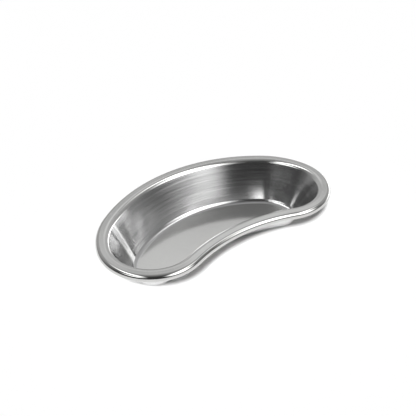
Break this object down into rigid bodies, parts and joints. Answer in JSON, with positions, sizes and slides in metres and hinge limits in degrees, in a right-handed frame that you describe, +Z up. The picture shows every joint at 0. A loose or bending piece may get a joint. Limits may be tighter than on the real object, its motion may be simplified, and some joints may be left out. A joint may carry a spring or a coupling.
{
  "type": "kidney dish",
  "caption": "Kidney-shaped stainless steel medical dish with leaning walls, a flat flange and a hollow rolled edge.",
  "frame": {"origin": "on the underside of the flat floor, under the middle of the dish's length and width", "axes": "+Z up, +X along the length, the hollow waist faces -Y and the long curved back faces +Y"},
  "size_m": [0.2498, 0.1368, 0.04],
  "materials": {
    "satin_floor": "fine satin stainless steel",
    "brushed_wall": "polished stainless steel with fine brushing along the wall",
    "satin_flange": "even satin stainless steel",
    "bright_edge": "bright rolled stainless steel"
  },
  "bodies": {
    "root": {"floor_pan": "satin_floor", "side_wall": "brushed_wall", "rim_flange": "satin_flange", "rolled_edge": "bright_edge"}
  },
  "joints": []
}
